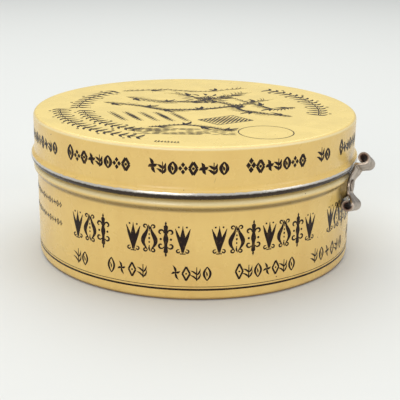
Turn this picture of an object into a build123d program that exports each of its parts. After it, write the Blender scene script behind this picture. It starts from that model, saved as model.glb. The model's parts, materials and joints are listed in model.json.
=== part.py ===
"""Round slip-lid shoe polish tin with a riveted twist key: drawn can, lid, key, rivet and polish cake.

Millimetres, +Z up, origin at the centre of the can's flat bottom. The key hangs on the +X side.
"""
from build123d import *
from math import acos, cos, degrees, radians, sin, sqrt, tan
import os

# overall
CAN_R = 43.5                # outside of the can's wall, and of its neck inside the lid
TOP_Z = 39.0                # outside of the lid's top panel

# tinplate
SHEET = 0.3                 # wall of the can and of the lid
KEY_SHEET = 0.6             # strip the key is stamped from

# can
HEEL_R = 1.2                # round where the wall meets the bottom
BEAD_Z = 24.6               # height of the swaged bead's crest
BEAD_REACH = 1.0            # how far the bead stands out of the wall
BEAD_R = 1.3                # radius of its crest
BEAD_BLEND_R = 0.7          # hollow radius that leads into it
RIM_R = 0.7                 # outer radius of the rim's inward roll
RIM_TURN = 240              # degrees the rim is rolled round
RIM_GAP = 1.3               # between the rim and the inside of the lid's panel

# lid
LID_FIT = 0.35              # radial clearance between the neck and the lid's skirt
REST_GAP = 0.26             # between the bead's crest and the curl, measured on the line of their centres
TOP_CORNER_R = 1.0          # round between panel and skirt
CURL_REACH = 0.95           # how far the edge curl stands out of the skirt
CURL_R = 1.3                # outer radius of the curl
CURL_END = 80               # degrees below level where the curl's sheet ends
FLARE_R = 1.5               # hollow radius between skirt and curl

# key, its seat on the can and its rivet
CAM_R = 2.9                 # round middle of the key, which turns under the lid's curl
CAM_GAP = 0.8               # between the round middle and the bottom of the curl
KEY_TUCK = 0.4              # how far the key's flat sits in from the widest part of the curl
KEY_GAP = 0.1               # running gap on each face of the key
WAIST_W = 5.0               # width of the strip at the middle
LOBE_W = 8.0                # width of the wings
WAIST_LENGTH = 2.6          # from the pivot to where the strip starts to widen
LOBE_START = 4.8            # from the pivot to where it is at its full width
LOBE_ROUND = 2.0            # softened corners of the outline
KEY_FLAT = 1.8              # flat length each side of the pivot
KEY_BEND_R = 1.2            # inside radius of the strip's outward bends
UPPER_TILT = 32             # degrees the upper wing leans to +Y
LOWER_TILT = 14             # degrees the lower wing leans to -Y
SEAT_R = 3.0                # flat of the round seat pressed out of the wall
SEAT_PROUD = 0.1            # least height of the seat over the bead's crest
SEAT_FLANK = 35             # degrees the seat's flank leans
SEAT_ROOT = 0.75            # share of the sheet that the flank's foot goes into the wall
SHANK_R = 1.1               # rivet shank
SHANK_CLEARANCE = 0.05      # radial, in the key's hole
HEAD_LIP = 0.5              # how far the rivet's heads stand out over the shank
HEAD_T = 0.45               # height of the heads
HEAD_ROUND = 0.35           # dome of the outer head
TAIL_TAPER = 22             # degrees the inner head narrows

# polish
CAKE_DEPTH = 1.3            # top of the cast cake, below the rivet's inner head
CAKE_RISE = 0.6             # how far its edge climbs the wall
CAKE_CREEP = 3.0            # width of that climb
CAKE_SINK = 0.5             # how far the middle has sunk

# where the pieces meet
LID_R = CAN_R + LID_FIT + SHEET
BEAD_CENTRE_X = CAN_R + BEAD_REACH - BEAD_R
CURL_CENTRE_X = LID_R + CURL_REACH - CURL_R
CURL_Z = BEAD_Z + sqrt((BEAD_R + CURL_R + REST_GAP) ** 2 - (CURL_CENTRE_X - BEAD_CENTRE_X) ** 2)
NECK_TOP = TOP_Z - SHEET - RIM_GAP - RIM_R
KEY_X = max(LID_R + CURL_REACH - KEY_TUCK, CAN_R + BEAD_REACH + SEAT_PROUD + KEY_GAP)
SEAT_X = KEY_X - KEY_GAP
PIVOT_Z = CURL_Z - CURL_R - CAM_GAP - CAM_R
HEAD_R = SHANK_R + HEAD_LIP
CAKE_Z = PIVOT_Z - HEAD_R - CAKE_DEPTH
QUARTER = 90

pivot_plane = Plane(origin=(SEAT_X, 0, PIVOT_Z), x_dir=(0, 1, 0), z_dir=(1, 0, 0))


def can_section(inset):
    """Filled half section of the can up to its neck, drawn in from the outside by inset."""
    blend_x = CAN_R + BEAD_BLEND_R
    centres_apart = BEAD_R + BEAD_BLEND_R
    turn = degrees(acos((blend_x - BEAD_CENTRE_X) / centres_apart))
    half_bead = centres_apart * sin(radians(turn))
    with BuildSketch(Plane.XZ) as section:
        with BuildLine():
            bottom = Line((0, inset), (CAN_R - HEEL_R, inset))
            heel = CenterArc((CAN_R - HEEL_R, HEEL_R), HEEL_R - inset, -QUARTER, QUARTER)
            foot = CenterArc((blend_x, BEAD_Z - half_bead), BEAD_BLEND_R + inset, 180, -turn)
            crest = CenterArc((BEAD_CENTRE_X, BEAD_Z), BEAD_R - inset, -turn, 2 * turn)
            head = CenterArc((blend_x, BEAD_Z + half_bead), BEAD_BLEND_R + inset, 180 + turn, -turn)
            Line(heel @ 1, foot @ 0)
            neck = Line(head @ 1, (CAN_R - inset, NECK_TOP))
            Polyline(neck @ 1, (0, NECK_TOP), bottom @ 0)
        make_face()
    return section.sketch


def lid_outline(inset):
    """Half outline of the lid from its centre to the end of its curl, drawn in by inset."""
    flare_x = LID_R + FLARE_R
    centres_apart = CURL_R + FLARE_R
    turn = degrees(acos((flare_x - CURL_CENTRE_X) / centres_apart))
    flare_z = CURL_Z + centres_apart * sin(radians(turn))
    corner = CenterArc((LID_R - TOP_CORNER_R, TOP_Z - TOP_CORNER_R), TOP_CORNER_R - inset, 0, QUARTER)
    flare = CenterArc((flare_x, flare_z), FLARE_R + inset, 180, turn)
    curl = CenterArc((CURL_CENTRE_X, CURL_Z), CURL_R - inset, turn, -turn - CURL_END)
    panel = Line((0, TOP_Z - inset), corner @ 1)
    Line(corner @ 0, flare @ 0)
    return panel, curl


# the drawn can: open at the top, beaded under the lid, with a flat seat pressed out for the key
seat_height = SEAT_X - CAN_R
with BuildPart() as base_can:
    revolve(can_section(0), axis=Axis.Z)
    with BuildSketch(pivot_plane):
        Circle(SEAT_R)
    extrude(amount=-seat_height - SEAT_ROOT * SHEET, taper=-SEAT_FLANK)
    revolve(can_section(SHEET), axis=Axis.Z, mode=Mode.SUBTRACT)
    with BuildSketch(pivot_plane.offset(-SHEET)):
        Circle(SEAT_R - SHEET * tan(radians(QUARTER - SEAT_FLANK) / 2))
    extrude(amount=-seat_height - SHEET, taper=-SEAT_FLANK, mode=Mode.SUBTRACT)
    with BuildSketch(Plane.XZ):
        with BuildLine():
            roll_centre = (CAN_R - RIM_R, NECK_TOP)
            outer_roll = CenterArc(roll_centre, RIM_R, 0, RIM_TURN)
            inner_roll = CenterArc(roll_centre, RIM_R - SHEET, 0, RIM_TURN)
            Line(outer_roll @ 0, inner_roll @ 0)
            Line(outer_roll @ 1, inner_roll @ 1)
        make_face()
    revolve(axis=Axis.Z)
    with BuildSketch(pivot_plane):
        Circle(SHANK_R)
    extrude(amount=-2 * SHEET, mode=Mode.SUBTRACT)
base_can.part.label = "base_can"

# the slip lid: flat panel, straight skirt, and an edge curled out and under
with BuildPart() as lid:
    with BuildSketch(Plane.XZ):
        with BuildLine():
            outer_panel, outer_curl = lid_outline(0)
            inner_panel, inner_curl = lid_outline(SHEET)
            Line(outer_panel @ 0, inner_panel @ 0)
            Line(outer_curl @ 1, inner_curl @ 1)
        make_face()
    revolve(axis=Axis.Z)
lid.part.label = "lid"


def key_wing(direction, lean, arm, knee, leg, curl_r, curl_turn):
    """One wing of the key, from the pivot out along direction.

    The strip leans out by lean degrees for the length arm, bends by knee degrees more,
    runs on for leg, and rolls back towards the tin by curl_turn degrees at inner radius curl_r.
    """
    pivot = Vector(KEY_X, 0, PIVOT_Z)
    outward = Vector(1, 0, 0)

    def face_line(depth):
        """Line of the strip's inner face (depth 0) or outer face (depth KEY_SHEET)."""
        flat = Line((0, depth), (KEY_FLAT, depth))
        bend = JernArc(flat @ 1, flat % 1, KEY_BEND_R - depth, lean)
        rise = Line(bend @ 1, bend @ 1 + (bend % 1) * arm)
        last = rise
        if knee:
            crook = JernArc(rise @ 1, rise % 1, KEY_BEND_R - depth, knee)
            last = Line(crook @ 1, crook @ 1 + (crook % 1) * leg)
        curl = JernArc(last @ 1, last % 1, curl_r + depth, -curl_turn)
        return flat, curl

    with BuildPart() as wing:
        with BuildSketch(Plane(origin=pivot, x_dir=direction, z_dir=direction.cross(outward))):
            with BuildLine():
                inner_flat, inner_end = face_line(0)
                outer_flat, outer_end = face_line(KEY_SHEET)
                Line(inner_flat @ 0, outer_flat @ 0)
                Line(inner_end @ 1, outer_end @ 1)
            make_face()
        extrude(amount=LOBE_W, both=True)
        reach = wing.part.bounding_box().diagonal
        with BuildSketch(Plane(origin=pivot, x_dir=direction, z_dir=outward)) as outline:
            with BuildLine():
                half = Polyline(
                    (0, 0),
                    (0, WAIST_W / 2),
                    (WAIST_LENGTH, WAIST_W / 2),
                    (LOBE_START, LOBE_W / 2),
                    (reach, LOBE_W / 2),
                    (reach, 0),
                )
                mirror(half, about=Plane.XZ)
            make_face()
            shoulders = outline.vertices().filter_by(
                lambda v: WAIST_LENGTH / 2 < Vector(v).sub(pivot).dot(direction) < reach / 2
            )
            fillet(shoulders, LOBE_ROUND)
        extrude(amount=reach, both=True, mode=Mode.INTERSECT)
    return wing.part


upper_tilt = radians(UPPER_TILT)
lower_tilt = radians(LOWER_TILT)
upper_wing = key_wing(
    Vector(0, sin(upper_tilt), cos(upper_tilt)), lean=20, arm=3.3, knee=62, leg=1.2, curl_r=0.9, curl_turn=195
)
lower_wing = key_wing(
    Vector(0, -sin(lower_tilt), -cos(lower_tilt)), lean=44, arm=2.6, knee=0, leg=0, curl_r=1.3, curl_turn=260
)

# the stamped twist key: round middle on the rivet, and two rolled wings to hold
with BuildPart() as opener_key:
    with BuildSketch(pivot_plane.offset(KEY_GAP)):
        Circle(CAM_R)
    extrude(amount=KEY_SHEET)
    add(upper_wing)
    add(lower_wing)
    with BuildSketch(pivot_plane.offset(KEY_GAP)):
        Circle(SHANK_R + SHANK_CLEARANCE)
    extrude(amount=KEY_SHEET, mode=Mode.SUBTRACT)
opener_key.part.label = "opener_key"

# the rivet: domed head outside the key, shank through key and seat, closed head inside the can
with BuildPart() as key_rivet:
    with BuildSketch(pivot_plane.offset(-SHEET)):
        Circle(SHANK_R)
    extrude(amount=SHEET + KEY_SHEET + 2 * KEY_GAP)
    with BuildSketch(pivot_plane.offset(-SHEET)):
        Circle(HEAD_R)
    extrude(amount=-HEAD_T, taper=TAIL_TAPER)
    with BuildSketch(pivot_plane.offset(2 * KEY_GAP + KEY_SHEET)):
        Circle(HEAD_R)
    head = extrude(amount=HEAD_T)
    fillet(head.edges().sort_by(Axis.X)[-1], HEAD_ROUND)
key_rivet.part.label = "key_rivet"

# the cast cake of polish, which wets the wall at its edge and has sunk a little in the middle
with BuildPart() as polish_cake:
    inner_r = CAN_R - SHEET
    with BuildSketch(Plane.XZ):
        with BuildLine():
            bottom = Line((0, SHEET), (CAN_R - HEEL_R, SHEET))
            heel = CenterArc((CAN_R - HEEL_R, HEEL_R), HEEL_R - SHEET, -QUARTER, QUARTER)
            wall = Line(heel @ 1, (inner_r, CAKE_Z + CAKE_RISE))
            creep = TangentArc((inner_r - CAKE_CREEP, CAKE_Z), wall @ 1, tangent=(1, 0))
            surface = Line((0, CAKE_Z - CAKE_SINK), creep @ 0)
            Line(surface @ 0, bottom @ 0)
        make_face()
    revolve(axis=Axis.Z)
polish_cake.part.label = "polish_cake"

os.makedirs("parts", exist_ok=True)
for piece in (base_can, lid, opener_key, key_rivet, polish_cake):
    export_step(piece.part, f"parts/{piece.part.label}.step")
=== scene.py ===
"""Round slip-lid shoe polish tin with a riveted twist key: printed tinplate, bare key, wax cake.

Laid out as an add-on and run as a script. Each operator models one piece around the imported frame.
Lengths are metres. Print is laid out in millimetres on the unrolled sheet and wrapped on after.
"""

import json
from math import acos, atan2, cos, degrees, hypot, pi, radians, sin, sqrt, tau

import bmesh
import bpy
from bpy.props import FloatProperty, FloatVectorProperty, IntProperty, PointerProperty
from mathutils import Matrix, Vector, noise


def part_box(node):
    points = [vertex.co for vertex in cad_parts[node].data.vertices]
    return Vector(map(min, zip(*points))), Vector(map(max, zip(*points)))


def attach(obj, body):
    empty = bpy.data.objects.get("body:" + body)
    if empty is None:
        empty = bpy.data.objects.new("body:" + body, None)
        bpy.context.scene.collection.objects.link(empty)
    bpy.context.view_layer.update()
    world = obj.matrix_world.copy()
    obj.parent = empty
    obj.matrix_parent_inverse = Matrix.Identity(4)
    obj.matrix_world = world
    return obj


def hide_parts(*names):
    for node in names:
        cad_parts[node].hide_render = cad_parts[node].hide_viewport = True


bl_info = {
    "name": "Shoe Polish Tin",
    "version": (1, 0, 0),
    "blender": (4, 5, 0),
    "location": "View3D > Sidebar > Polish Tin",
    "description": "Models a printed slip-lid polish tin with a twist key",
    "category": "Add Mesh",
}

MM = 0.001

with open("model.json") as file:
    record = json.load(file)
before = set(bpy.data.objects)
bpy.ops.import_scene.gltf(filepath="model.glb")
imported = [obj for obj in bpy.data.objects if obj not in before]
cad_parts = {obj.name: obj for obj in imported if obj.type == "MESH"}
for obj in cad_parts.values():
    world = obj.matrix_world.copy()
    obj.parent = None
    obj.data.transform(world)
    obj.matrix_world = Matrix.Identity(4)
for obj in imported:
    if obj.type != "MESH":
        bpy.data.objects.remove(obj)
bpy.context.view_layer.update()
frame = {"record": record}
LID_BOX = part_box("lid")
CAN_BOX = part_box("base_can")
RIVET_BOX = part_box("key_rivet")
CAKE_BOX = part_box("polish_cake")
PIVOT = Vector(next(j for j in frame["record"]["behaviour"]["joints"] if j["name"] == "key_turn")["pos_m"])


def linear(hex_colour):
    """Linear RGBA of an sRGB hex colour."""
    channels = [int(hex_colour[i : i + 2], 16) / 255 for i in (1, 3, 5)]
    return tuple(c / 12.92 if c <= 0.04045 else ((c + 0.055) / 1.055) ** 2.4 for c in channels) + (1.0,)


def length(name, description, default):
    """Property for a length in metres."""
    return FloatProperty(name=name, description=description, default=default, unit="LENGTH", precision=5)


def colour(name, description, hex_colour):
    """Property for a colour, given as sRGB hex."""
    return FloatVectorProperty(
        name=name, description=description, default=linear(hex_colour), size=4, min=0, max=1, subtype="COLOR"
    )


def angle(name, description, degree):
    """Property for an angle, given in degrees."""
    return FloatProperty(name=name, description=description, default=radians(degree), subtype="ANGLE")


class TinSizes(bpy.types.PropertyGroup):
    """Sizes of the pressed sheet, which follow the frame's nodes."""

    sheet: length("Sheet", "Thickness of the tinplate", 0.3 * MM)
    steps: IntProperty(name="Steps", description="Segments round the tin", default=352, min=64)
    heel: length("Heel", "Radius between the wall and the bottom", 1.2 * MM)
    wall: length("Wall radius", "Outside of the can's wall", 43.5 * MM)
    bead_z: length("Bead height", "Height of the bead's crest", 24.6 * MM)
    bead_reach: length("Bead reach", "How far the bead stands out of the wall", 1.0 * MM)
    bead_radius: length("Bead radius", "Radius of the bead's crest", 1.3 * MM)
    bead_blend: length("Bead blend", "Hollow radius beside the bead", 0.7 * MM)
    rim_radius: length("Rim radius", "Outer radius of the rolled rim", 0.7 * MM)
    curl_reach: length("Curl reach", "How far the lid's curl stands out of its skirt", 0.95 * MM)
    curl_radius: length("Curl radius", "Outer radius of the lid's curl", 1.3 * MM)
    flare: length("Flare", "Hollow radius above the curl", 1.5 * MM)
    corner: length("Top corner", "Radius between the lid's panel and skirt", 1.0 * MM)
    seat_radius: length("Seat radius", "Flat seat of the key", 3.0 * MM)
    waver: length("Waver", "How far the pressed sheet strays from true", 0.05 * MM)
    panel_drop: length("Panel drop", "Room for the waver under the top of the frame's lid", 0.06 * MM)


class KeySizes(bpy.types.PropertyGroup):
    """Sizes of the stamped key and its rivet."""

    strip: length("Strip", "Thickness of the key's strip", 0.6 * MM)
    waist: length("Waist", "Half width at the middle", 2.5 * MM)
    lobe: length("Lobe", "Half width of the wings", 4.0 * MM)
    cam: length("Cam", "Radius of the round middle", 2.9 * MM)
    flat: length("Flat", "Flat length each side of the pivot", 1.8 * MM)
    bend: length("Bend", "Inside radius of the outward bends", 1.2 * MM)
    hole: length("Hole", "Radius of the rivet hole", 1.15 * MM)
    shank: length("Shank", "Radius of the rivet's shank", 1.1 * MM)
    widen_from: length("Widening from", "Distance from the pivot where the wings start", 2.7 * MM)
    widen_to: length("Widening to", "Distance from the pivot where the wings are full", 5.3 * MM)
    lower_extra: length("Lower extra", "Added half width of the lower wing", 0.3 * MM)
    end_round: length("End round", "Rounding of the blank's four corners", 0.9 * MM)
    upper_tilt: angle("Upper tilt", "Lean of the upper wing", 32)
    upper_twist: angle("Upper twist", "How far the upper wing is wrung back", 6)
    lower_tilt: angle("Lower tilt", "Lean of the lower wing", 14)


class TinColours(bpy.types.PropertyGroup):
    """Colours of the print, the bare metal and the wax."""

    paint: colour("Paint", "Litho ground colour", "#EAC776")
    # painted light: the panel's ground colour, lighter as if lit from above
    paint_lit: colour("Faded paint", "Ground colour of the panel, which the light has faded", "#EDD281")
    # painted highlight along the lid's top corner and the can's bead
    paint_highlight: colour("Rubbed paint", "Ground colour where handling has polished it pale", "#F3E2B0")
    paint_aged: colour("Aged paint", "Ground colour where the varnish has browned", "#CF9F50")
    ink: colour("Ink", "Printed black, brown in thin places", "#20110B")
    tin: colour("Tin", "Bare tinplate", "#C8C3B8")
    silver: colour("Silver", "Tin rubbed bright along the curl", "#F2EEE6")
    tin_dull: colour("Dull tin", "Tinplate that has greyed", "#837A6E")
    key_light: colour("Key", "Handled steel of the key, tinned long ago", "#C6B8A8")
    key_dark: colour("Dark key", "Steel where the tin has gone", "#84766A")
    # this colour also stands for painted shade in the folds, under the lid's curl and round the key;
    # scratches take it too
    shade_and_grime: colour("Grime", "Dirt and oxide in the folds", "#33271E")
    rust: colour("Rust", "Specks where the plate has broken", "#5B3420")
    wax: colour("Wax", "Cast polish", "#C08C3E")
    wax_dark: colour("Dark wax", "Polish that has dried", "#8C5F28")


# ---- shared tools -------------------------------------------------------------------------------


def arc(centre, radius, start, end, count):
    """Points on an arc, in degrees, both ends included."""
    steps = [radians(start + (end - start) * i / count) for i in range(count + 1)]
    return [(centre[0] + radius * cos(a), centre[1] + radius * sin(a)) for a in steps]


def span(a, b, count):
    """Points between a and b, both left out."""
    return [(a[0] + (b[0] - a[0]) * i / count, a[1] + (b[1] - a[1]) * i / count) for i in range(1, count)]


def lathe(outline, steps):
    """Closed mesh from a half outline that is spun round Z."""
    bm = bmesh.new()
    verts = [bm.verts.new((r, 0, z)) for r, z in outline]
    edges = [bm.edges.new(pair) for pair in zip(verts, verts[1:])]
    bmesh.ops.spin(
        bm, geom=verts + edges, cent=(0, 0, 0), axis=(0, 0, 1), angle=tau, steps=steps, use_merge=True
    )
    bmesh.ops.remove_doubles(bm, verts=bm.verts, dist=1e-7)
    bmesh.ops.recalc_face_normals(bm, faces=bm.faces)
    return bm


def face_outwards(bm):
    """Points every face of a closed shape away from its inside."""
    bmesh.ops.recalc_face_normals(bm, faces=bm.faces)
    if bm.calc_volume(signed=True) < 0:
        bmesh.ops.reverse_faces(bm, faces=bm.faces)


def finish_piece(name, bm, materials, body, replaces=None, sharp=35):
    """Turns a bmesh into a piece that rides on a body, smooth but for edges over sharp degrees."""
    face_outwards(bm)
    for face in bm.faces:
        face.smooth = True
    mesh = bpy.data.meshes.new(name)
    bm.to_mesh(mesh)
    bm.free()
    mesh.set_sharp_from_angle(angle=radians(sharp))
    for material in materials:
        mesh.materials.append(material)
    piece = bpy.data.objects.new(name, mesh)
    bpy.context.scene.collection.objects.link(piece)
    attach(piece, body)
    if replaces:
        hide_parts(replaces)


NOISE, CELLS = "ShaderNodeTexNoise", "ShaderNodeTexVoronoi"
COORDINATES, MAPPING, SEPARATE = "ShaderNodeTexCoord", "ShaderNodeMapping", "ShaderNodeSeparateXYZ"
MATH, VECTOR_MATH, RANGE = "ShaderNodeMath", "ShaderNodeVectorMath", "ShaderNodeMapRange"
MIX, BUMP, ATTRIBUTE = "ShaderNodeMix", "ShaderNodeBump", "ShaderNodeAttribute"
PRINCIPLED, OUTPUT = "ShaderNodeBsdfPrincipled", "ShaderNodeOutputMaterial"


def node(tree, kind, inputs=None, **settings):
    """Adds a node with its settings, and sets or links its inputs. A node that is given as an input
    stands for its first output in use."""
    made = tree.nodes.new(kind)
    for key, value in settings.items():
        setattr(made, key, value)
    for key, value in (inputs or {}).items():
        if isinstance(value, bpy.types.Node):
            value = next(socket for socket in value.outputs if socket.enabled)
        if isinstance(value, bpy.types.NodeSocket):
            tree.links.new(value, made.inputs[key])
        else:
            made.inputs[key].default_value = value
    return made


def new_material(name):
    """Empty node material, its tree and the piece's own coordinates."""
    material = bpy.data.materials.new(name)
    material.use_nodes = True
    tree = material.node_tree
    tree.nodes.clear()
    return material, tree, node(tree, COORDINATES).outputs["Object"]


def stray(x, y, z):
    """How far the pressed sheet stands out of true at a place, from -1 to 1."""
    broad = noise.noise(Vector((x, y, z)) * 38 + Vector((3.1, 7.7, 1.9)))
    fine = noise.noise(Vector((x, y, z * 0.6)) * 130 + Vector((9.2, 0.4, 5.5)))
    return 0.8 * broad + 0.25 * fine


PANEL_EDGE = 41.5 * MM  # radius where the waver turns from up and down to in and out
EDGE_BAND = 1.6 * MM  # over which it turns
BASE = 5 * MM  # under which a panel stays flat, so that the tin stands


def warp_sheet(bm, amount):
    """Moves a tin's wall in and out and its panels up and down by the sheet's own waver."""
    for v in bm.verts:
        r = hypot(v.co.x, v.co.y)
        if r < 1e-6:
            v.co.z += amount * stray(*v.co)
            continue
        wall = min(1, max(0, (r - PANEL_EDGE) / EDGE_BAND))
        off = amount * stray(*v.co)
        on_panel = 0 if v.co.z < BASE else 1
        out = Vector((v.co.x / r, v.co.y / r, 0))
        v.co += out * off * wall + Vector((0, 0, off * (1 - wall) * on_panel))


# ---- materials ----------------------------------------------------------------------------------


def printed_tinplate(
    name, colours, bare_below, bare_band, shade_height, shade_and_dirt_above, highlight_height, highlight_reach, lit_above
):
    """Litho-printed tinplate under old varnish: pale yellow, satin, browned in patches, with fine
    specks of rust. Below the height bare_below the paint is rubbed off to silver tin, over bare_band.
    Under that band the curl's underside is darkened by painted shade and dirt. Painted shade darkens the
    hollow at shade_height and the wall round the key, painted shade and dirt the wall above
    shade_and_dirt_above, where the lid's edge sits, and the wall is darker at its foot. The ridge at
    highlight_height gets a painted pale highlight, and all over lit_above, which lies under the light, is
    painted lighter as if lit."""
    material, tree, place = new_material(name)
    height = node(tree, SEPARATE, {"Vector": place}).outputs["Z"]
    # patches of browned varnish, about 15 mm across, and drawn streaks 4 mm wide
    patches = node(tree, NOISE, {"Vector": place, "Scale": 1 / (15 * MM), "Detail": 4.0})
    upright = node(tree, MAPPING, {"Vector": place, "Scale": (1, 1, 0.06)})
    streaks = node(tree, NOISE, {"Vector": upright, "Scale": 1 / (4 * MM), "Detail": 2.0})
    aged = node(tree, RANGE, {"Value": patches, "From Min": 0.42, "From Max": 0.78, "To Max": 0.3})
    streaked = node(tree, RANGE, {"Value": streaks, "From Min": 0.5, "From Max": 0.8, "To Max": 0.16})
    age = node(tree, MATH, {0: aged, 1: streaked}, operation="ADD")
    ground = node(tree, MIX, {"Factor": age, "A": colours.paint, "B": colours.paint_aged}, data_type="RGBA")
    # painted light: the panel under the light is painted lighter, and the ridge gets a painted pale highlight
    # painted light: the top panel is painted lighter, as if lit from above
    lit_mask = node(tree, RANGE, {
        "Value": height, "From Min": lit_above - 0.15 * MM, "From Max": lit_above, "To Max": 0.9,
    })
    lightened = node(tree, MIX, {"Factor": lit_mask, "A": ground, "B": colours.paint_lit}, data_type="RGBA")
    from_ridge = node(tree, MATH, {0: height, 1: highlight_height}, operation="SUBTRACT")
    off_ridge = node(tree, MATH, {0: from_ridge}, operation="ABSOLUTE")
    # painted highlight: paler paint along the ridge
    polish = node(tree, RANGE, {
        "Value": off_ridge, "From Max": highlight_reach, "To Min": 0.85, "To Max": 0.0,
    }, interpolation_type="SMOOTHSTEP")
    highlighted = node(tree, MIX, {"Factor": polish, "A": lightened, "B": colours.paint_highlight}, data_type="RGBA")
    # specks up to 0.6 mm across where the plate has broken, thin on the ground
    cells = node(tree, CELLS, {"Vector": place, "Scale": 1 / (2.6 * MM)})
    thin = node(tree, NOISE, {"Vector": place, "Scale": 1 / (6 * MM), "Detail": 3.0})
    reach = node(tree, RANGE, {"Value": thin, "From Min": 0.5, "From Max": 0.74, "To Max": 0.12})
    speck = node(tree, MATH, {0: cells.outputs["Distance"], 1: reach}, operation="LESS_THAN")
    specked = node(tree, MIX, {"Factor": speck, "A": highlighted, "B": colours.rust}, data_type="RGBA")
    # painted shade in the hollow under the bead and round the key, painted shade and dirt under the lid's
    # edge, and darker at the foot
    below = node(tree, MATH, {0: height, 1: shade_height}, operation="SUBTRACT")
    distance = node(tree, MATH, {0: below}, operation="ABSOLUTE")
    hollow = node(tree, RANGE, {
        "Value": distance, "From Min": 0.4 * MM, "From Max": 1.0 * MM, "To Min": 0.66, "To Max": 0.0,
    })
    # painted shadow of the key on the wall round it, broken up by noise
    from_key = node(tree, VECTOR_MATH, {0: place, 1: PIVOT}, operation="DISTANCE")
    handled = node(tree, RANGE, {
        "Value": from_key.outputs["Value"], "From Min": 4 * MM, "From Max": 7.5 * MM, "To Min": 1.5,
        "To Max": 0.0,
    })
    key_shadow = node(tree, MATH, {0: handled, 1: thin}, operation="MULTIPLY")
    foot = node(tree, RANGE, {
        "Value": height, "From Min": 0.25 * MM, "From Max": 0.9 * MM, "To Min": 0.6, "To Max": 0.0,
    })
    # painted shade and dirt on the wall under the lid's edge
    ledge = node(tree, RANGE, {
        "Value": height, "From Min": shade_and_dirt_above, "From Max": shade_and_dirt_above + 0.4 * MM, "To Max": 0.88,
    })
    folds = node(tree, MATH, {0: hollow, 1: ledge}, operation="MAXIMUM")
    painted_shade = node(tree, MATH, {0: folds, 1: key_shadow}, operation="MAXIMUM")
    darkened = node(tree, MATH, {0: painted_shade, 1: foot}, operation="MAXIMUM")
    # a few scratches, up to 0.2 mm wide, where the tin has been knocked
    bent = node(tree, MAPPING, {"Vector": place, "Rotation": (0.6, 0.3, 0.2), "Scale": (1, 1, 0.35)})
    lines = node(tree, CELLS, {"Vector": bent, "Scale": 1 / (11 * MM)}, feature="DISTANCE_TO_EDGE")
    knocked = node(tree, NOISE, {"Vector": place, "Scale": 1 / (9 * MM), "Detail": 2.0})
    narrow = node(tree, RANGE, {"Value": knocked, "From Min": 0.68, "From Max": 0.8, "To Max": 0.012})
    scratch = node(tree, MATH, {0: lines.outputs["Distance"], 1: narrow}, operation="LESS_THAN")
    scratched = node(tree, MATH, {0: scratch, 1: 0.4}, operation="MULTIPLY")
    marked = node(tree, MATH, {0: darkened, 1: scratched}, operation="MAXIMUM")
    # painted shade, darkening at the foot, and scratches, all in one dark colour
    darkened_skin = node(tree, MIX, {"Factor": marked, "A": specked, "B": colours.shade_and_grime}, data_type="RGBA")
    # the rubbed edge: a ragged line, then silver that darkens towards the fold under it with painted shade
    # and dirt
    ragged = node(tree, NOISE, {"Vector": place, "Scale": 1 / (1.1 * MM), "Detail": 5.0})
    shift = node(tree, MATH, {0: ragged, 1: 0.4 * MM, 2: height}, operation="MULTIPLY_ADD")
    bare = node(tree, RANGE, {
        "Value": shift, "From Min": bare_below + 0.2 * MM, "From Max": bare_below + 0.2 * MM + 0.12 * MM,
        "To Min": 1.0, "To Max": 0.0,
    })
    # painted shade and dirt on the curl's underside, below the silver
    curl_shade_and_dirt = node(tree, RANGE, {
        "Value": shift, "From Min": bare_below - bare_band - 0.05 * MM,
        "From Max": bare_below - bare_band + 0.3 * MM, "To Min": 1.0, "To Max": 0.0,
    })
    silver = node(tree, MIX, {"Factor": ragged, "A": colours.silver, "B": colours.tin}, data_type="RGBA")
    metal = node(tree, MIX, {"Factor": curl_shade_and_dirt, "A": silver, "B": colours.shade_and_grime}, data_type="RGBA")
    skin = node(tree, MIX, {"Factor": bare, "A": darkened_skin, "B": metal}, data_type="RGBA")
    worn_through = node(tree, MATH, {0: bare, 1: 0.45}, operation="MULTIPLY")
    gloss = node(
        tree, RANGE, {"Value": thin, "From Min": 0.3, "From Max": 0.8, "To Min": 0.2, "To Max": 0.38}
    )
    # orange peel of the varnish, 0.8 mm, and the step at the paint's edge
    peel = node(tree, NOISE, {"Vector": place, "Scale": 1 / (0.8 * MM), "Detail": 2.0})
    step = node(tree, MATH, {0: bare, 1: -2.0, 2: peel}, operation="MULTIPLY_ADD")
    bump = node(tree, BUMP, {"Height": step, "Strength": 0.25, "Distance": 0.02 * MM})
    shader = node(
        tree, PRINCIPLED, {"Base Color": skin, "Metallic": worn_through, "Roughness": gloss, "Normal": bump}
    )
    node(tree, OUTPUT, {"Surface": shader})
    return material


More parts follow.
